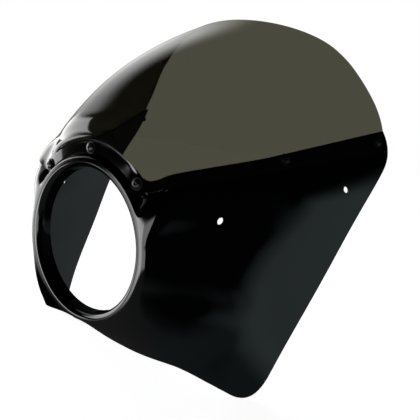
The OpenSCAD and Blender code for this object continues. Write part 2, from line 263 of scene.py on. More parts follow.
LOW_PULLS = ((-42.6, 41), (48, 4.5))
FRONT_HANDLES = (np.array([116.0, 50.0]), np.array([118.0, -60.0]))


def brow_edge(u):
    if u < BROW_SHARE:
        return polar(BROW_R, BROW_ANGLE * u / BROW_SHARE)
    return curve(BROW_END, BROW_END + DIP_PULL * BROW_DIR, RAIL_START - DIP_PULL * RAIL_DIR,
                 RAIL_START, (u - BROW_SHARE) / DIP_SHARE)


def rear_edge(u):
    if u < CORNER_SHARE:
        return curve(RAIL_END, RAIL_END + CORNER_PULLS[0], WIDEST + CORNER_PULLS[1], WIDEST,
                     u / CORNER_SHARE)
    if u < TIP_FROM:
        return curve(WIDEST, WIDEST + LONG_PULLS[0], HEEL + LONG_PULLS[1], HEEL,
                     (u - CORNER_SHARE) / LONG_SHARE)
    return curve(HEEL, HEEL_HANDLE, TOE_HANDLE, TOE, (u - TIP_FROM) / TIP_SHARE)


def low_edge(u):
    return curve(TOE, TOE + LOW_PULLS[0], LOW_MIDDLE + LOW_PULLS[1], LOW_MIDDLE, u)


def front_line(u):
    return curve(RAIL_START, *FRONT_HANDLES, low_edge(LOW_SPLIT), u)


print("rail", round(float(np.linalg.norm(RAIL_END - RAIL_START)), 1), "mm long in the front view")

# %% [markdown]
# A shell mesh is two grids of points, one on each face of the wall, joined along every free edge.
# The cowl's grid isn't a plain rectangle: over the brow and under the opening its columns are short,
# and only the side panels run on to the rear edge. A table of live patches says which quads exist,
# and the wall is closed wherever a live patch has no live neighbour.

# %% Grids to a closed shell
def shell_mesh(name, outer, inner, live, closed):
    columns, rows = outer.shape[:2]
    count = columns * rows
    strips = len(live)
    points = np.concatenate([outer.reshape(-1, 3), inner.reshape(-1, 3)])
    points = (points - (0.0, ORIGIN_DEPTH, 0.0)) * MM

    def at(i, j):
        return (i % columns) * rows + j

    def alive(i, j):
        i = i % strips if closed else i
        return 0 <= i < strips and 0 <= j < rows - 1 and live[i][j]

    faces = []
    sides = []
    for i in range(strips):
        for j in range(rows - 1):
            if not live[i][j]:
                continue
            corners = [at(i, j), at(i + 1, j), at(i + 1, j + 1), at(i, j + 1)]
            faces.append(corners)
            sides.append(0)
            faces.append([count + c for c in reversed(corners)])
            sides.append(1)
            around = [(i, j - 1), (i + 1, j), (i, j + 1), (i - 1, j)]
            for k, other in enumerate(around):
                if not alive(*other):
                    a, b = corners[k], corners[(k + 1) % 4]
                    faces.append([b, a, count + a, count + b])
                    sides.append(0)
    used = np.unique(np.concatenate([np.array(f) for f in faces]))
    renumber = {int(old): new for new, old in enumerate(used)}
    mesh = bpy.data.meshes.new(name)
    mesh.from_pydata(points[used].tolist(), [], [[renumber[c] for c in f] for f in faces])
    for side_name in ("outside", "inside"):
        mesh.materials.append(bpy.data.materials.new(name + "_" + side_name))
    for polygon, side in zip(mesh.polygons, sides):
        polygon.material_index = side
        polygon.use_smooth = True
    mesh.validate()
    piece = bpy.data.objects.new(name, mesh)
    bpy.context.scene.collection.objects.link(piece)
    print(name, len(mesh.vertices), "points,", len(mesh.polygons), "faces")
    return piece


def mirrored(columns, closed):
    other = np.array(columns[-2:0:-1] if closed else columns[:0:-1]) * (-1.0, 1.0, 1.0)
    if closed:
        return np.concatenate([np.array(columns), other])
    return np.concatenate([other, np.array(columns)])


# %% [markdown]
# The cowl's columns start on the collar, climb over the rolled edge, cross the front and end on the
# outline. The first rows are close together, because the ring, the ledge and the shoulder all turn
# within a few millimetres there, and gloss black shows every flat.

# %% Cowl columns
BROW_COLUMNS, PANEL_COLUMNS, LOW_COLUMNS = 36, 96, 34
FRONT_ROWS, REAR_ROWS, RIM_STEPS = 30, 40, 9
PANEL_LAST = BROW_COLUMNS + PANEL_COLUMNS
HALF = PANEL_LAST + LOW_COLUMNS
BROW_SPREAD, CORNER_SPREAD, TIP_SPREAD, LOW_SPREAD = 46.0, 60.0, 124.0, 138.0
ZONE_MOST, TIGHT_RUN, TIGHT_ROWS = 0.6, 12.0, 19
FRONT_GROWTH, REAR_GROWTH = 1.3, 1.15
COLLAR_ROWS = (0, 0.35, 0.7)


def start_angle(i):
    if i <= BROW_COLUMNS:
        return BROW_SPREAD * i / BROW_COLUMNS
    if i > PANEL_LAST:
        return mix(LOW_SPREAD, 180.0, (i - PANEL_LAST) / LOW_COLUMNS)
    u = (i - BROW_COLUMNS) / PANEL_COLUMNS
    return float(np.interp(u, [0, CORNER_SHARE, TIP_FROM, 1],
                           [BROW_SPREAD, CORNER_SPREAD, TIP_SPREAD, LOW_SPREAD]))


def front_end(i):
    if i <= BROW_COLUMNS:
        return brow_edge(i / BROW_COLUMNS)
    if i <= PANEL_LAST:
        return front_line((i - BROW_COLUMNS) / PANEL_COLUMNS)
    return low_edge(mix(LOW_SPLIT, 1.0, (i - PANEL_LAST) / LOW_COLUMNS))


def beyond(i, t):
    if i < BROW_COLUMNS or i > PANEL_LAST:
        return front_end(i)
    if i == PANEL_LAST:
        return low_edge(LOW_SPLIT * (1 - t))
    return mix(front_end(i), rear_edge((i - BROW_COLUMNS) / PANEL_COLUMNS), t)


def row_share(j, n, front_rows, front):
    zone = min(ZONE_MOST, front)
    if j <= front_rows:
        return zone * j / front_rows
    return zone + (1 - zone) * ((j - front_rows) / (n - front_rows)) ** FRONT_GROWTH


def rim_profile(inside):
    radius = RIM_ROUND - WALL if inside else RIM_ROUND
    angles = np.radians(np.linspace(0, 90, RIM_STEPS + 1))
    arc = [(RIM_R - radius * math.cos(a), RIM_ROUND - radius * math.sin(a)) for a in angles]
    wall_r = BORE_R + WALL if inside else BORE_R
    collar = [(wall_r, mix(COLLAR_DEPTH, RIM_ROUND, t)) for t in COLLAR_ROWS]
    return collar + arc


def cowl_column(i, height):
    angle = start_angle(i)
    start, stop = polar(RIM_R, angle), front_end(i)
    rim = [(r * math.sin(math.radians(angle)), y, r * math.cos(math.radians(angle)))
           for r, y in rim_profile(height < 0)]
    zone = TIGHT_RUN / np.linalg.norm(stop - start)
    shares = [row_share(j, FRONT_ROWS, TIGHT_ROWS, zone) for j in range(1, FRONT_ROWS + 1)]
    places = [mix(start, stop, share) for share in shares]
    places += [beyond(i, (j / REAR_ROWS) ** REAR_GROWTH) for j in range(1, REAR_ROWS + 1)]
    return np.concatenate([np.array(rim), above(places, height)])


def cowl_grid(height):
    return mirrored([cowl_column(i, height) for i in range(HALF + 1)], True)


front_strip = len(rim_profile(False)) - 1 + FRONT_ROWS
panel = range(BROW_COLUMNS, PANEL_LAST)
cowl_live = [[j < front_strip or i in panel or 2 * HALF - 1 - i in panel
              for j in range(front_strip + REAR_ROWS)] for i in range(2 * HALF)]
cowl = shell_mesh("cowl_shell", cowl_grid(0.0), cowl_grid(-WALL), cowl_live, True)

# %% [markdown]
# The windshield lies on the same form, a small gap above it. Its columns leave the lower edge square,
# so the flange and the overlap are evenly divided, and then run to the upper edge. In the tight dip
# they turn upwards sooner, because square lines would cross each other there and fold the sheet.

# %% Windshield columns
SHIELD_COLUMNS, SHIELD_ROWS, FLANGE_ROWS = 84, 62, 22
SQUARE_RUN, DIP_RUN, DIP_AT = 22.0, 8.0, 0.42
FLANGE_ANGLE = 42.0
FLANGE_END = polar(FLANGE_R, FLANGE_ANGLE)
FLANGE_DIR = polar(1.0, FLANGE_ANGLE + 90.0)
UNDERLAP_FRONT, UNDERLAP_REAR, REAR_SHORT, REAR_CUT = 13.0, 25.0, 9.8, 12.0
UNDER_START = RAIL_START + UNDERLAP_FRONT * RAIL_IN
REAR_CORNER = RAIL_END + UNDERLAP_REAR * RAIL_IN - REAR_SHORT * RAIL_DIR
UNDER_DIR = unit(REAR_CORNER - UNDER_START)
UNDER_END = REAR_CORNER - REAR_CUT * UNDER_DIR
SHOULDER_CORNER = np.array([147.5, SHIELD_TOP - 36.0])
REAR_STEP = RAIL_END - (2.0, 0.4)
FLANGE_PULL, UNDER_PULL = 12, 14
TOP_MIDDLE = np.array([0.0, SHIELD_TOP])
TOP_HANDLES = (np.array([60.0, SHIELD_TOP]), np.array([118.0, SHIELD_TOP - 11.0]))
SHOULDER_PULLS = ((19.2, -13.5), (-15, 40))
LOW_BREAKS = [0, 0.34, 0.5, 1]
HIGH_BREAKS = [0, 0.6, 0.9, 1]
EDGE_PARTS = [0, 1, 2, 3]
LOOK_BACK, MIDDLE_END = 0.004, 0.01
DIP_HALF, DIP_FADE = 0.06, 0.12
SQUARE_MOST = 0.4
SIDE_TURN = (0.8, 0.2)
SHIELD_GROWTH = 1.2


def shield_low(u):
    if u < 1:
        return polar(FLANGE_R, FLANGE_ANGLE * u)
    if u < 2:
        return curve(FLANGE_END, FLANGE_END + FLANGE_PULL * FLANGE_DIR,
                     UNDER_START - UNDER_PULL * UNDER_DIR, UNDER_START, u - 1)
    return mix(UNDER_START, UNDER_END, u - 2)


def shield_high(u):
    if u < 1:
        return curve(TOP_MIDDLE, *TOP_HANDLES, SHOULDER_CORNER, u)
    if u < 2:
        return curve(SHOULDER_CORNER, SHOULDER_CORNER + SHOULDER_PULLS[0],
                     REAR_STEP + SHOULDER_PULLS[1], REAR_STEP, u - 1)
    return mix(REAR_STEP, REAR_CORNER, u - 2)


def shield_column(s, height):
    low = shield_low(float(np.interp(s, LOW_BREAKS, EDGE_PARTS)))
    last = shield_low(float(np.interp(s - LOOK_BACK, LOW_BREAKS, EDGE_PARTS)))
    high = shield_high(float(np.interp(s, HIGH_BREAKS, EDGE_PARTS)))
    along = unit(low - last) if s > MIDDLE_END else np.array([1.0, 0.0])
    square = np.array([-along[1], along[0]])
    in_dip = smooth(1 - max(0.0, abs(s - DIP_AT) - DIP_HALF) / DIP_FADE)
    square_run = mix(SQUARE_RUN, DIP_RUN, float(in_dip))
    zone = min(square_run, SQUARE_MOST * float(np.linalg.norm(high - low)))
    middle = low + zone * unit(mix(square, unit(high - low), rising(s, *SIDE_TURN)))
    places = [mix(low, middle, j / FLANGE_ROWS) for j in range(FLANGE_ROWS)]
    spread = SHIELD_ROWS - FLANGE_ROWS
    places += [mix(middle, high, (j / spread) ** SHIELD_GROWTH) for j in range(spread + 1)]
    return above(places, height)


def shield_grid(height):
    columns = [shield_column(i / SHIELD_COLUMNS, height) for i in range(SHIELD_COLUMNS + 1)]
    return mirrored(columns, False)


shield_live = [[True] * SHIELD_ROWS for _ in range(2 * SHIELD_COLUMNS)]
shield = shell_mesh("windshield_shell", shield_grid(SHIELD_GAP + SHIELD_T),
                    shield_grid(SHIELD_GAP), shield_live, False)

# %% [markdown]
# Screw holes and mounting holes are drilled square to the skin. One boolean per piece takes them all
# out at once, and a bevel then breaks every sharp edge, because no moulding has a perfectly sharp one,
# and such a small rounding is what catches the light in a thin line.

# %% Holes and broken edges
FRONT_SCREW_R, FRONT_SCREW_ANGLE = 104.5, 43.5
MID_SCREW_ALONG, MID_SCREW_IN = 61.0, 7.5
REAR_SCREW_ALONG, REAR_SCREW_IN = 133.0, 13.5
MID_SCREW = RAIL_START + MID_SCREW_ALONG * RAIL_DIR + MID_SCREW_IN * RAIL_IN
REAR_SCREW = RAIL_START + REAR_SCREW_ALONG * RAIL_DIR + REAR_SCREW_IN * RAIL_IN
FRONT_MOUNT = np.array([135.5, 44.5])
REAR_MOUNT = np.array([208.7, 85.0])
SCREW_D, CLEAR, MOUNT_HOLE_D = 5.0, 0.3, 8.5
BIT_LENGTH, BIT_SIDES = 24.0, 40
EDGE_BREAK, EDGE_STEPS, SHARP_ANGLE = 0.6, 3, 50
OTHER_SIDE = (-1, 1)

half_screws = [polar(FRONT_SCREW_R, FRONT_SCREW_ANGLE), MID_SCREW, REAR_SCREW]
screw_places = [np.array([0.0, FRONT_SCREW_R])] + half_screws + [p * OTHER_SIDE for p in half_screws]
mount_places = [FRONT_MOUNT, REAR_MOUNT, FRONT_MOUNT * OTHER_SIDE, REAR_MOUNT * OTHER_SIDE]


def seat(place):
    point = (above(place, 0.0) - (0.0, ORIGIN_DEPTH, 0.0)) * MM
    return Vector(point.tolist()), Vector(facing(*np.asarray(place, float)).tolist())


def drill_bits(name, places, diameter):
    bits = bmesh.new()
    for place in places:
        point, normal = seat(place)
        turn = normal.to_track_quat("Z", "Y").to_matrix().to_4x4()
        bmesh.ops.create_cone(bits, cap_ends=True, segments=BIT_SIDES, radius1=diameter * MM / 2,
                              radius2=diameter * MM / 2, depth=BIT_LENGTH * MM,
                              matrix=Matrix.Translation(point) @ turn)
    mesh = bpy.data.meshes.new(name)
    bits.to_mesh(mesh)
    bits.free()
    piece = bpy.data.objects.new(name, mesh)
    bpy.context.scene.collection.objects.link(piece)
    return piece


def apply_all(piece):
    graph = bpy.context.evaluated_depsgraph_get()
    finished = bpy.data.meshes.new_from_object(piece.evaluated_get(graph))
    piece.modifiers.clear()
    piece.data = finished


def drill(piece, tools):
    for tool in tools:
        cut = piece.modifiers.new("holes", "BOOLEAN")
        cut.operation = "DIFFERENCE"
        cut.solver = "MANIFOLD"
        cut.object = tool
    apply_all(piece)
    for tool in tools:
        bpy.data.objects.remove(tool)


def break_edges(piece):
    bevel = piece.modifiers.new("broken edges", "BEVEL")
    bevel.width = EDGE_BREAK * MM
    bevel.segments = EDGE_STEPS
    bevel.limit_method = "ANGLE"
    bevel.angle_limit = math.radians(SHARP_ANGLE)
    bevel.harden_normals = True
    apply_all(piece)


drill(cowl, [drill_bits("screw_bits", screw_places, SCREW_D + 2 * CLEAR),
             drill_bits("mount_bits", mount_places, MOUNT_HOLE_D)])
drill(shield, [drill_bits("shield_bits", screw_places, SCREW_D + 2 * CLEAR)])
break_edges(cowl)
break_edges(shield)
for piece, solid in ((cowl, "cowl"), (shield, "windshield")):
    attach(piece, "root")
    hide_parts(solid)
    print(piece.name, "after drilling:", len(piece.data.polygons), "faces")

# %% [markdown]
# Materials are node graphs, and node graphs are formulas, so a small class lets them be written as
# formulas: it wraps one socket, and each operator adds the Math node that does the sum.

# %% Shader maths
class Wire:
    def __init__(self, tree, socket):
        self.tree, self.socket = tree, socket

    def sum(self, kind, other, swap=False):
        pair = (other, self) if swap else (self, other)
        return node(self.tree, "ShaderNodeMath", {"operation": kind}, {0: pair[0], 1: pair[1]})

    def __add__(self, other):
        return self.sum("ADD", other)

    def __radd__(self, other):
        return self.sum("ADD", other, True)

    def __mul__(self, other):
        return self.sum("MULTIPLY", other)

    def __rmul__(self, other):
        return self.sum("MULTIPLY", other, True)


def node(tree, kind, settings=None, inputs=None, output=0):
    made = tree.nodes.new(kind)
    for name, value in (settings or {}).items():
        setattr(made, name, value)
    for key, value in (inputs or {}).items():
        if isinstance(value, Wire):
            tree.links.new(value.socket, made.inputs[key])
        else:
            made.inputs[key].default_value = value
    return Wire(tree, made.outputs[output])


def material(name):
    made = bpy.data.materials.new(name)
    made.use_nodes = True
    made.node_tree.nodes.clear()
    return made, made.node_tree


def object_place(tree):
    return node(tree, "ShaderNodeTexCoord", output="Object")


def noise(tree, scale, detail=2.0, rough=0.5):
    return node(tree, "ShaderNodeTexNoise", {}, {
        "Vector": object_place(tree), "Scale": scale, "Detail": detail, "Roughness": rough})


def finish_material(tree, surface):
    out = tree.nodes.new("ShaderNodeOutputMaterial")
    tree.links.new(surface.socket, out.inputs["Surface"])


# %% [markdown]
# The cowl's outside is polished black: nearly no colour of its own, so what one sees is what it
# reflects. A faint long wave in the surface, as any large moulding has, keeps reflections from
# looking like cut glass. The inside of such a moulding is left as it came from the mould, with a dull,
# finely grained face. Its lighter grey is partly the plastic's own dull tone and partly painted
# light, which brightens the shaded inner face of the far panel.

# %% Cowl materials
PLASTIC_IOR = 1.5
COWL_BLACK = (0.0008, 0.0009, 0.0009, 1.0)
WAVE_SHARE, PEEL_SHARE = 0.9, 0.02
COWL_ROUGH, SMEAR_ROUGH = 0.045, 0.05
# Painted light: the inner face's grey is set far lighter than the outside, partly its own dull tone and
# partly brightness standing in for light on the shaded inner panel.
INSIDE_GREY_AND_PAINTED_LIGHT = (0.030, 0.037, 0.037, 1.0)
INSIDE_ROUGH, CLOUD_ROUGH = 0.42, 0.12


def gloss_black():
    made, tree = material("cowl_gloss")
    wave = noise(tree, scale=22.0, detail=1.0)
    peel = noise(tree, scale=900.0, detail=1.0)
    height = wave * WAVE_SHARE + peel * PEEL_SHARE
    bump = node(tree, "ShaderNodeBump", {}, {"Height": height, "Strength": 0.05, "Distance": 0.002})
    smear = noise(tree, scale=35.0, detail=4.0, rough=0.6)
    shade = node(tree, "ShaderNodeBsdfPrincipled", {}, {
        "Base Color": COWL_BLACK, "Roughness": COWL_ROUGH + smear * SMEAR_ROUGH,
        "IOR": PLASTIC_IOR, "Normal": bump})
    finish_material(tree, shade)
    return made


def moulded_inside():
    made, tree = material("cowl_inside")
    grain = noise(tree, scale=1400.0, detail=3.0, rough=0.6)
    cloud = noise(tree, scale=9.0, detail=2.0)
    bump = node(tree, "ShaderNodeBump", {}, {"Height": grain, "Strength": 0.35, "Distance": 0.0004})
    # The inner face's base colour carries painted light as well as the plastic's dull tone.
    shade = node(tree, "ShaderNodeBsdfPrincipled", {}, {
        "Base Color": INSIDE_GREY_AND_PAINTED_LIGHT, "Roughness": INSIDE_ROUGH + cloud * CLOUD_ROUGH, "Normal": bump})
    finish_material(tree, shade)
    return made


print("cowl slots after drilling", [m.name if m else "bit" for m in cowl.data.materials])
for polygon in cowl.data.polygons:
    polygon.material_index = 1 if polygon.material_index == 1 else 0
while len(cowl.data.materials) > 2:
    cowl.data.materials.pop()
cowl.data.materials[0] = gloss_black()
cowl.data.materials[1] = moulded_inside()
print("cowl slots", [m.name for m in cowl.data.materials])

# %% [markdown]
# Smoked plastic takes light away at each pass. One wall lets about a fifteenth of the light through,
# slightly yellow, so the white behind it turns olive grey, and two walls look black. The face that a
# ray enters takes all of that wall's share, and the face that it leaves by is clear.

# %% Windshield material
WALL_SMOKE = 0.932
SMOKE_BLACK = (0.002, 0.002, 0.0018, 1.0)
SMOKE_TINT = (1.0, 0.97, 0.70, 1.0)
WHITE = (1.0, 1.0, 1.0, 1.0)
SHIELD_ROUGH, HAZE_ROUGH = 0.04, 0.04


def smoked_clear():
    made, tree = material("windshield_smoke")
    haze = noise(tree, scale=30.0, detail=3.0)
    ripple = noise(tree, scale=14.0, detail=1.0)
    bump = node(tree, "ShaderNodeBump", {}, {"Height": ripple, "Strength": 0.03, "Distance": 0.002})
    gloss = node(tree, "ShaderNodeBsdfPrincipled", {}, {
        "Base Color": SMOKE_BLACK, "Roughness": SHIELD_ROUGH + haze * HAZE_ROUGH,
        "IOR": PLASTIC_IOR, "Normal": bump})
    clear = node(tree, "ShaderNodeBsdfTransparent", {}, {"Color": SMOKE_TINT})
    entering = node(tree, "ShaderNodeMixShader", {}, {0: WALL_SMOKE, 1: clear, 2: gloss})
    leaving = node(tree, "ShaderNodeBsdfTransparent", {}, {"Color": WHITE})
    behind = node(tree, "ShaderNodeNewGeometry", output="Backfacing")
    both = node(tree, "ShaderNodeMixShader", {}, {0: behind, 1: entering, 2: leaving})
    finish_material(tree, both)
    return made


shield.data.materials.clear()
shield.data.materials.append(smoked_clear())
for polygon in shield.data.polygons:
    polygon.material_index = 0

# %% [markdown]
# The fasteners. Seven black button head screws hold the windshield, each with a soft black washer under
# its head and a zinc plated washer and lock nut behind the wall. Each part is lathed from its half
# section. The screw's thread is a real helix: its radius rises and falls with height, and the rise
# climbs by one pitch for each turn, just as a thread rolling die forms it. The hexagon is a lathed ring
# whose radius follows a six sided outline.

# %% Fastener parts
SEAT, PITCH, THREAD_H, AROUND = 0.1, 0.8, 0.45, 48
HEAD_D, HEAD_H, SOCKET_AF, DOME = 10.5, 2.8, 3.0, 0.85
WASHER_D, WASHER_T, BACK_D, BACK_T = 14.0, 1.2, 11.0, 1.0
NUT_AF, NUT_H, NUT_SPARE, NUT_COLLAR = 8.0, 5.0, 1.5, 0.3
WASHER_LOW = SHIELD_GAP + SHIELD_T + CLEAR
HEAD_LOW = WASHER_LOW + WASHER_T
NUT_TOP = -WALL - CLEAR - BACK_T
THREAD_LOW = NUT_TOP - NUT_H - NUT_SPARE
HOLE_R = SCREW_D / 2 + CLEAR
THREAD_STEP, THREAD_SHORT, SHANK_SHORT = 0.1, 1.0, 0.8
HEAD_CHAMFER, HEAD_ROUND = 0.15, 0.1
DOME_RADII = (4.8, 4.3, 3.8, 3.2, 2.6, 2.1)
SOCKET_DEPTH, SOCKET_CHAMFER, SOCKET_TIP_R, SOCKET_TIP = 0.35, 0.12, 0.6, 0.25
NUT_COLLAR_R, NUT_ROUND, NUT_CHAMFER, NUT_CHAMFER_OUT = 0.44, 0.3, 0.4, 0.1


def hexagon(flats, angle):
    return flats / 2 / math.cos((angle + math.pi / 6) % (math.pi / 3) - math.pi / 6)


def thread(angle, z):
    climb = (z / PITCH - angle / (2 * math.pi)) % 1.0
    return SCREW_D / 2 - THREAD_H * abs(2 * climb - 1)


def lathe(name, stations, closed):
    mesh = bmesh.new()
    rings = [[mesh.verts.new((r(a) * math.cos(a) * MM, r(a) * math.sin(a) * MM, z * MM))
              for a in (2 * math.pi * k / AROUND for k in range(AROUND))] for r, z in stations]
    pairs = list(zip(rings, rings[1:] + rings[:1])) if closed else list(zip(rings, rings[1:]))
    for low, high in pairs:
        for k in range(AROUND):
            mesh.faces.new((low[k], low[(k + 1) % AROUND], high[(k + 1) % AROUND], high[k]))
    if not closed:
        mesh.faces.new(list(reversed(rings[0])))
        mesh.faces.new(rings[-1])
    bmesh.ops.recalc_face_normals(mesh, faces=mesh.faces)
    data = bpy.data.meshes.new(name)
    mesh.to_mesh(data)
    mesh.free()
    part = bpy.data.objects.new(name, data)
    bpy.context.scene.collection.objects.link(part)
    return part


def disc(radius, z):
    return (lambda angle: radius, z)


def dome_height(radius):
    ball = HEAD_D * DOME
    return HEAD_LOW + HEAD_H - ball + math.sqrt(ball * ball - radius * radius)


def screw_part():
    steps = int((HEAD_LOW - THREAD_LOW - THREAD_SHORT) / THREAD_STEP)
    stations = [disc(SCREW_D / 2 - THREAD_H, THREAD_LOW)]
    for k in range(1, steps):
        z = THREAD_LOW + THREAD_STEP * k
        stations.append((lambda angle, z=z: thread(angle, z), z))
    stations += [disc(SCREW_D / 2, HEAD_LOW - SHANK_SHORT), disc(SCREW_D / 2, HEAD_LOW)]
    rim = HEAD_D / 2
    stations += [disc(rim - HEAD_CHAMFER, HEAD_LOW), disc(rim, HEAD_LOW + HEAD_CHAMFER),
                 disc(rim, dome_height(rim) - HEAD_ROUND)]
    stations += [disc(r, dome_height(r)) for r in (rim - HEAD_ROUND, *DOME_RADII)]
    socket_floor = HEAD_LOW + HEAD_H * SOCKET_DEPTH
    top = dome_height(DOME_RADII[-1])
    stations += [(lambda angle: hexagon(SOCKET_AF, angle) + SOCKET_CHAMFER, top),
                 (lambda angle: hexagon(SOCKET_AF, angle), top - SOCKET_CHAMFER),
                 (lambda angle: hexagon(SOCKET_AF, angle), socket_floor),
                 disc(SOCKET_TIP_R, socket_floor - SOCKET_TIP)]
    return lathe("screw_part", stations, False)


def ring_part(name, outer, low, high, round_off):
    stations = [disc(HOLE_R, low), disc(outer - round_off, low), disc(outer, low + round_off),
                disc(outer, high - round_off), disc(outer - round_off, high), disc(HOLE_R, high)]
    return lathe(name, stations, True)


def nut_part():
    low, high = NUT_TOP - NUT_H, NUT_TOP
    step = low + NUT_H * NUT_COLLAR
    collar = NUT_AF * NUT_COLLAR_R
    rounded = NUT_AF / 2 + NUT_CHAMFER_OUT
    stations = [disc(HOLE_R, low), disc(collar - NUT_ROUND, low), disc(collar, low + NUT_ROUND),
                disc(collar, step),
                (lambda angle: min(hexagon(NUT_AF, angle), rounded), step),
                (lambda angle: hexagon(NUT_AF, angle), step + NUT_CHAMFER),
                (lambda angle: hexagon(NUT_AF, angle), high - NUT_CHAMFER),
                (lambda angle: min(hexagon(NUT_AF, angle), rounded), high), disc(HOLE_R, high)]
    return lathe("nut_part", stations, True)


# %% [markdown]
# One node tree sets any of these parts on all seven screw places. Each place carries the way the skin
# faces there. The tree stands the part up along it, spins it by a random angle with a fixed seed,
# because nobody lines up the sockets of screws, and gives it its finish.

# %% One tree for all fasteners
def fastener_tree():
    tree = bpy.data.node_groups.new("set_on_places", "GeometryNodeTree")
    face = tree.interface
    face.new_socket("Geometry", in_out="OUTPUT", socket_type="NodeSocketGeometry")
    face.new_socket("Places", in_out="INPUT", socket_type="NodeSocketGeometry")
    face.new_socket("Part", in_out="INPUT", socket_type="NodeSocketObject")
    face.new_socket("Finish", in_out="INPUT", socket_type="NodeSocketMaterial")
    face.new_socket("Spin", in_out="INPUT", socket_type="NodeSocketFloat")
    face.new_socket("Seed", in_out="INPUT", socket_type="NodeSocketInt")
    given = tree.nodes.new("NodeGroupInput")
    places, part, finish, spin, seed = (Wire(tree, given.outputs[k]) for k in range(5))
    way = node(tree, "GeometryNodeInputNamedAttribute", {"data_type": "FLOAT_VECTOR"}, {"Name": "facing"})
    stand = node(tree, "FunctionNodeAlignRotationToVector", {"axis": "Z"}, {"Vector": way})
    chance = node(tree, "FunctionNodeRandomValue", {"data_type": "FLOAT"}, {"Seed": seed}, output=1)
    turn = node(tree, "ShaderNodeCombineXYZ", {}, {"Z": chance * spin})
    angle = node(tree, "FunctionNodeEulerToRotation", {}, {0: turn})
    both = node(tree, "FunctionNodeRotateRotation", {"rotation_space": "LOCAL"}, {0: stand, 1: angle})
    shape = node(tree, "GeometryNodeObjectInfo", {}, {"Object": part}, output="Geometry")
    points = node(tree, "GeometryNodeMeshToPoints", {}, {"Mesh": places})
    copies = node(tree, "GeometryNodeInstanceOnPoints", {}, {
        "Points": points, "Instance": shape, "Rotation": both})
    real = node(tree, "GeometryNodeRealizeInstances", {}, {"Geometry": copies})
    painted = node(tree, "GeometryNodeSetMaterial", {}, {"Geometry": real, "Material": finish})
    out = tree.nodes.new("NodeGroupOutput")
    tree.links.new(painted.socket, out.inputs[0])
    return tree


def set_on_places(name, tree, part, finish, spin, seed):
    seats = [seat(place) for place in screw_places]
    mesh = bpy.data.meshes.new(name)
    mesh.from_pydata([point for point, _ in seats], [], [])
    ways = mesh.attributes.new("facing", "FLOAT_VECTOR", "POINT")
    ways.data.foreach_set("vector", [v for _, way in seats for v in way])
    group = bpy.data.objects.new(name, mesh)
    bpy.context.scene.collection.objects.link(group)
    setter = group.modifiers.new("set", "NODES")
    setter.node_group = tree
    sockets = {item.name: item.identifier for item in tree.interface.items_tree if item.in_out == "INPUT"}
    for title, value in (("Part", part), ("Finish", finish), ("Spin", spin), ("Seed", seed)):
        setter[sockets[title]] = value
    apply_all(group)
    bpy.data.objects.remove(part)
    print(name, len(group.data.polygons), "faces")
    return group


# %% [markdown]
# The finishes: a satin black coat on the screws, dull nylon under their heads, and bright zinc behind.

# %% Fastener finishes and pieces
GRAIN_HEIGHT, GRAIN_ROUGH = 0.0002, 0.12
NYLON_ROUND, STEEL_ROUND = 0.3, 0.15


def plain_finish(name, color, rough, metal, grain_scale, strength, shine=0.5):
    made, tree = material(name)
    grain = noise(tree, scale=grain_scale, detail=3.0)
    bump = node(tree, "ShaderNodeBump", {}, {
        "Height": grain, "Strength": strength, "Distance": GRAIN_HEIGHT})
    shade = node(tree, "ShaderNodeBsdfPrincipled", {}, {
        "Base Color": (*color, 1.0), "Roughness": rough + grain * GRAIN_ROUGH, "Metallic": metal,
        "Specular IOR Level": shine, "Normal": bump})
    finish_material(tree, shade)
    return made


black_screw = plain_finish("black_screw", color=(0.006, 0.006, 0.006), rough=0.20, metal=0.0,
                           grain_scale=1200.0, strength=0.2, shine=0.35)
black_nylon = plain_finish("black_nylon", color=(0.004, 0.004, 0.004), rough=0.45, metal=0.0,
                           grain_scale=700.0, strength=0.3, shine=0.15)
zinc = plain_finish("zinc_plate", color=(0.58, 0.57, 0.54), rough=0.25, metal=1.0,
                    grain_scale=1500.0, strength=0.2)
one_tree = fastener_tree()
full_turn = 2 * math.pi
fasteners = [
    ("screws_threaded", "shield_screws", "screw", screw_part(), black_screw, full_turn, 3),
    ("washers_nylon", "screw_washers", "washer",
     ring_part("washer_part", WASHER_D / 2, WASHER_LOW, HEAD_LOW - SEAT, NYLON_ROUND),
     black_nylon, 0.0, 1),
    ("washers_steel", "nut_washers", "steel",
     ring_part("back_part", BACK_D / 2, NUT_TOP + SEAT / 2, -WALL - CLEAR, STEEL_ROUND),
     zinc, 0.0, 1),
    ("nuts_locking", "lock_nuts", "steel", nut_part(), zinc, full_turn, 5)]
for name, replaced, slot_name, part, finish, spin, seed in fasteners:
    group = set_on_places(name, one_tree, part, finish, spin, seed)
    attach(group, "root")
    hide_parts(replaced)

# %% [markdown]
# The studio. Gloss black has almost no shade of its own: it shows the room, mirrored. So the room is
# drawn first, as brightness by direction, in the way a product photographer places cards: white paper
# to the left, with a narrow dark gap before a soft box low in front, which makes the bright patch on
# the ring, and dim grey below and to the right. Azimuth is 0 straight ahead of the lamp opening and
# grows towards the camera's side. Sides and ends are a card's edges in degrees of azimuth and
# elevation, and soft is how far each kind of edge fades. The camera itself sees plain white.

# %% The room as brightness by direction
world = bpy.data.worlds.new("studio")
bpy.context.scene.world = world
world.use_nodes = True
room = world.node_tree
room.nodes.clear()
direction = node(room, "ShaderNodeTexCoord", output="Generated")
split = room.nodes.new("ShaderNodeSeparateXYZ")
room.links.new(direction.socket, split.inputs[0])
ahead, aside, rise = (Wire(room, split.outputs[k]) for k in (1, 0, 2))
DEGREES = 180 / math.pi
TINT_FROM, TINT_TO = 20.0, 60.0
RIGHT_TINT = (0.80, 1.0, 1.05, 1.0)
azimuth = node(room, "ShaderNodeMath", {"operation": "ARCTAN2"}, {0: aside, 1: ahead * -1.0}) * DEGREES
elevation = node(room, "ShaderNodeMath", {"operation": "ARCSINE"}, {0: rise}) * DEGREES


def ramp(value, low, high):
    return node(room, "ShaderNodeMapRange", {"interpolation_type": "SMOOTHSTEP"}, {
        "Value": value, "From Min": low, "From Max": high, "To Min": 0.0, "To Max": 1.0})


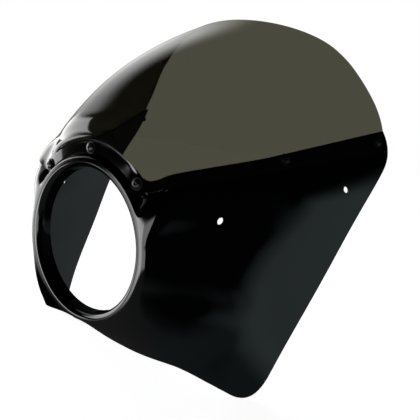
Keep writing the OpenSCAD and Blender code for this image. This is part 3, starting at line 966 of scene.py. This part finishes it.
def card(light, sides, ends, soft):
    (left, right), (low, high), (soft_sides, soft_ends) = sides, ends, soft
    across = ramp(azimuth, left, left + soft_sides) * ramp(azimuth, right, right - soft_sides)
    upward = ramp(elevation, low, low + soft_ends) * ramp(elevation, high, high - soft_ends)
    return across * upward * light


paper_left = card(light=1.3, sides=(-148.0, -62.0), ends=(0.0, 54.0), soft=(22.0, 22.0))
paper_low = card(light=4.0, sides=(-104.0, -54.0), ends=(-24.0, 22.0), soft=(1.5, 14.0))
ring_box = card(light=3.6, sides=(-49.5, -10.0), ends=(-24.0, -6.0), soft=(1.5, 2.0))
ring_fill = card(light=3.2, sides=(-44.0, 36.0), ends=(-24.0, -5.0), soft=(6.0, 4.0))
grey_low = card(light=0.13, sides=(-60.0, 128.0), ends=(-91.0, -10.0), soft=(10.0, 10.0))
grey_right = card(light=0.45, sides=(52.0, 128.0), ends=(-24.0, 27.0), soft=(10.0, 10.0))
brightness = paper_left + paper_low + ring_box + ring_fill + grey_low + grey_right
tint = node(room, "ShaderNodeMix", {"data_type": "RGBA"}, {
    0: ramp(azimuth, TINT_FROM, TINT_TO), 6: WHITE, 7: RIGHT_TINT}, output=2)
path = node(room, "ShaderNodeLightPath", output="Is Camera Ray")
mirrored_room = node(room, "ShaderNodeBackground", {}, {"Color": tint, "Strength": brightness})
plain_white = node(room, "ShaderNodeBackground", {}, {"Color": WHITE, "Strength": 1.0})
both = node(room, "ShaderNodeMixShader", {}, {0: path, 1: mirrored_room, 2: plain_white})
world_out = room.nodes.new("ShaderNodeOutputWorld")
room.links.new(both.socket, world_out.inputs["Surface"])
bpy.context.scene.view_settings.view_transform = "Standard"

# %% [markdown]
# The photograph has a big black shape on the near panel, with a bent lower edge. Whatever stood in the
# real room isn't known, but the shape can be made as the mirror image of a dark card near the panel,
# seen in the curved skin. A near card is needed for this: two places on the panel can mirror the same
# direction, but they meet the card at different points. The outline was found by following mirrored
# rays from the panel to the card. A fringe that grows clear outwards gives the soft edge. Only mirror
# rays see the card: the camera doesn't, and it blocks no light.

# %% Dark card beside the near panel
CARD_X = 0.35
DARK_EDGE = [(-0.50, -0.16), (-0.10, -0.16), (-0.03, -0.16), (0.0, -0.14), (0.03, -0.11),
             (0.06, -0.10), (0.08, -0.085), (0.095, -0.05), (0.115, 0.0), (0.14, 0.05), (0.165, 0.10),
             (0.19, 0.15), (0.26, 0.165), (0.34, 0.19), (0.40, 0.30), (0.40, 0.60), (-0.50, 0.60)]
CLEAR_EDGE = [(-0.54, -0.34), (-0.10, -0.34), (-0.02, -0.30), (0.02, -0.23), (0.045, -0.17),
              (0.075, -0.145), (0.10, -0.105), (0.12, -0.065), (0.145, -0.015), (0.17, 0.03),
              (0.195, 0.075), (0.215, 0.115), (0.27, 0.13), (0.35, 0.155), (0.45, 0.30), (0.45, 0.65),
              (-0.54, 0.65)]
corners = len(DARK_EDGE)
dark_face = [list(range(corners))]
fringe = [[k, corners + k, corners + (k + 1) % corners, (k + 1) % corners] for k in range(corners)]
card_mesh = bpy.data.meshes.new("dark_card")
card_mesh.from_pydata([(CARD_X, y, z) for y, z in DARK_EDGE + CLEAR_EDGE], [], dark_face + fringe)
cover = card_mesh.attributes.new("cover", "FLOAT", "POINT")
cover.data.foreach_set("value", [1.0] * corners + [0.0] * corners)
dark_card = bpy.data.objects.new("dark_card", card_mesh)
bpy.context.scene.collection.objects.link(dark_card)
card_finish, card_tree = material("dark_card")
share = node(card_tree, "ShaderNodeAttribute", {"attribute_name": "cover"}, output="Fac")
clear = node(card_tree, "ShaderNodeBsdfTransparent")
black = node(card_tree, "ShaderNodeEmission", {}, {"Color": (0.0, 0.0, 0.0, 1.0), "Strength": 0.0})
finish_material(card_tree, node(card_tree, "ShaderNodeMixShader", {}, {0: share, 1: clear, 2: black}))
card_mesh.materials.append(card_finish)
for ray in ("visible_camera", "visible_diffuse", "visible_transmission", "visible_shadow"):
    setattr(dark_card, ray, False)

# %% [markdown]
# The floor is pale and nearly evenly bright, as paper on a light table is, so it keeps only a faint
# shadow. It is left out of mirror reflections, where the room above already has its grey floor. One
# soft light behind reaches the dull inner face of the far panel, and is left out of them as well.

# %% Floor and rear light
FLOOR_DROP = 0.0015
FLOOR_REACH = 6.0
FLOOR_PALE = (0.8, 0.8, 0.8, 1.0)
FLOOR_ROUGH, FLOOR_GLOW = 0.9, 0.9
LAMP_SIDE, LAMP_WATTS = 0.8, 4.0
LAMP_PLACE, LAMP_AIM = (0.9, 1.2, 0.25), Vector((0, 0.1, 0))
floor_z = cad_box[0][2] - FLOOR_DROP
floor_mesh = bpy.data.meshes.new("floor")
floor_mesh.from_pydata([(-FLOOR_REACH, -FLOOR_REACH, floor_z), (FLOOR_REACH, -FLOOR_REACH, floor_z),
                        (FLOOR_REACH, FLOOR_REACH, floor_z), (-FLOOR_REACH, FLOOR_REACH, floor_z)],
                       [], [(0, 1, 2, 3)])
floor = bpy.data.objects.new("floor", floor_mesh)
bpy.context.scene.collection.objects.link(floor)
floor_finish, floor_tree = material("pale_floor")
finish_material(floor_tree, node(floor_tree, "ShaderNodeBsdfPrincipled", {}, {
    "Base Color": FLOOR_PALE, "Roughness": FLOOR_ROUGH,
    "Emission Color": WHITE, "Emission Strength": FLOOR_GLOW}))
floor_mesh.materials.append(floor_finish)
floor.visible_glossy = False

rear_light = bpy.data.lights.new("rear_box", "AREA")
rear_light.shape = "RECTANGLE"
rear_light.size, rear_light.size_y = LAMP_SIDE, LAMP_SIDE
rear_light.energy = LAMP_WATTS
rear_lamp = bpy.data.objects.new("rear_box", rear_light)
rear_lamp.location = LAMP_PLACE
rear_lamp.rotation_euler = (LAMP_AIM - rear_lamp.location).to_track_quat("-Z", "Y").to_euler()
rear_lamp.visible_glossy = False
bpy.context.scene.collection.objects.link(rear_lamp)
